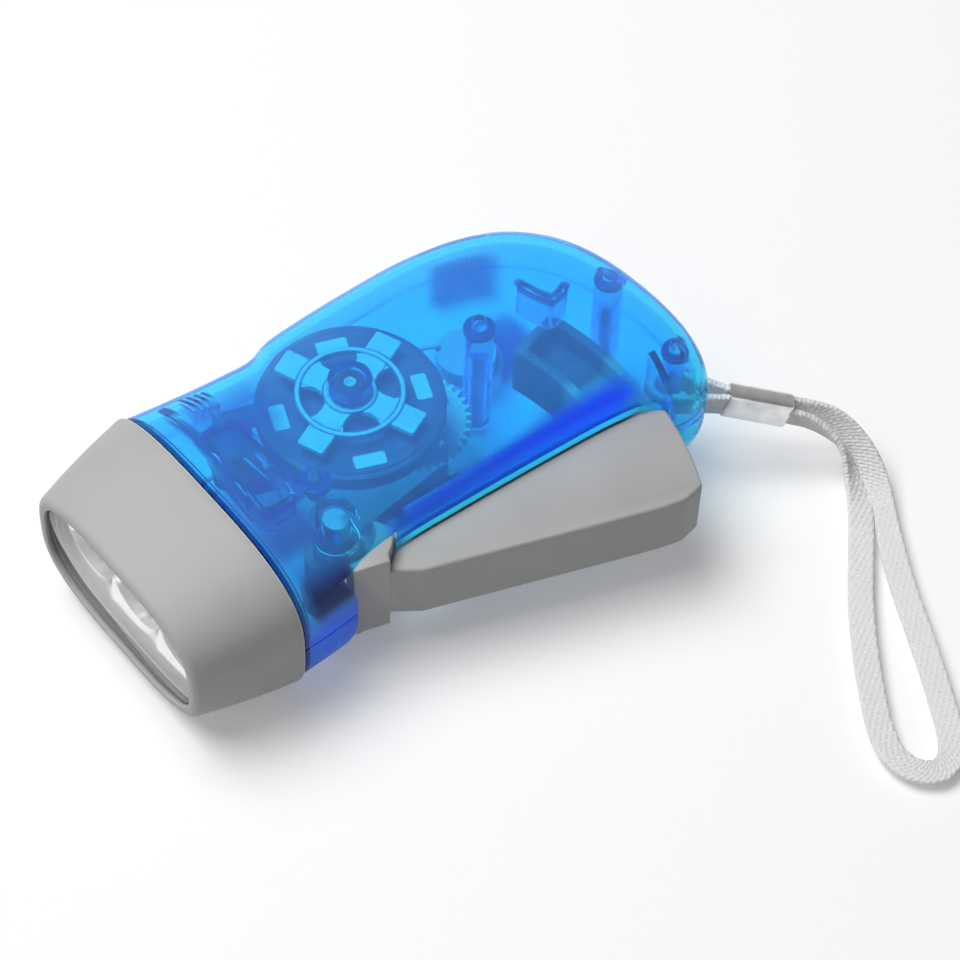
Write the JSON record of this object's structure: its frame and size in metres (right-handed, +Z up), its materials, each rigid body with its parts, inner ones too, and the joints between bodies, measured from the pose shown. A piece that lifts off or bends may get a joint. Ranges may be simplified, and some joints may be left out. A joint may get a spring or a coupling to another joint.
{
  "type": "squeeze dynamo flashlight",
  "caption": "Squeeze dynamo flashlight: see-through shells, a grey head with reflectors, a sprung lever geared to a flywheel generator, and a wrist strap.",
  "frame": {"origin": "middle of the base that the light lies on, under the middle of the light without its strap", "axes": "+X from the lens rim to the tail, +Z up through the thickness; the lever is on the -Y side"},
  "size_m": [0.1181, 0.1214, 0.0311],
  "materials": {
    "clear_blue": "clear blue, polished",
    "grey_plastic": "fine satin",
    "clear_lens": "clear, polished",
    "bright_reflector": "mirror bright",
    "led_clear": "clear, polished",
    "circuit_board": "satin",
    "gear_nylon": "satin",
    "steel": "ground",
    "dark_steel": "dark, oiled",
    "brass": "turned",
    "spider_plastic": "satin",
    "magnet": "plain",
    "copper": "enamelled wire",
    "black_plastic": "satin",
    "webbing": "woven",
    "polished_metal": "polished"
  },
  "bodies": {
    "housing": {"upper_shell": "clear_blue", "lower_shell": "clear_blue", "head_bezel": "grey_plastic", "front_lens": "clear_lens", "reflector": "bright_reflector", "led_1": "led_clear", "led_2": "led_clear", "led_3": "led_clear", "led_board": "circuit_board", "gear_axle": "steel", "stator_core": "dark_steel", "coil_bobbin": "black_plastic", "coil_winding": "copper", "upper_bush": "brass", "lower_bush": "brass", "storage_capacitor": "black_plastic", "capacitor_wires": "black_plastic", "coil_wires": "black_plastic", "return_spring": "steel", "lever_pin": "steel", "screw_tail_near": "steel", "screw_tail_far": "steel", "screw_middle": "steel", "screw_front": "steel", "strap_tail": "webbing", "strap_crimp": "polished_metal", "strap_loop": "webbing"},
    "lever": {"squeeze_lever": "grey_plastic", "sector_gear": "gear_nylon"},
    "step_up_gear": {"drive_pinion": "gear_nylon", "speed_wheel": "gear_nylon"},
    "rotor": {"rotor_shaft": "steel", "rotor_pinion": "brass", "flywheel": "dark_steel", "rotor_spider": "spider_plastic", "ring_magnet": "magnet"}
  },
  "joints": [
    {"name": "lever_hinge", "type": "hinge", "parent": "housing", "child": "lever", "pos_m": [-0.0191, -0.00606, 0.015], "axis": [0, 0, 1], "range_deg": [0, 16], "stiffness_Nm_per_rad": 0.35, "springref_deg": -20.05, "deforming": ["return_spring"]},
    {"name": "gear_spin", "type": "hinge", "parent": "housing", "child": "step_up_gear", "pos_m": [0.0094, 0.01048, 0.015], "axis": [0, 0, 1], "range_deg": [-120, 5]},
    {"name": "rotor_spin", "type": "hinge", "parent": "housing", "child": "rotor", "pos_m": [-0.0015, 0.01284, 0.015], "axis": [0, 0, 1], "range_deg": [-5, 525]}
  ],
  "couplings": [
    {"joint": "gear_spin", "follows": "lever_hinge", "ratio": -7.2},
    {"joint": "rotor_spin", "follows": "lever_hinge", "ratio": 32.4}
  ]
}
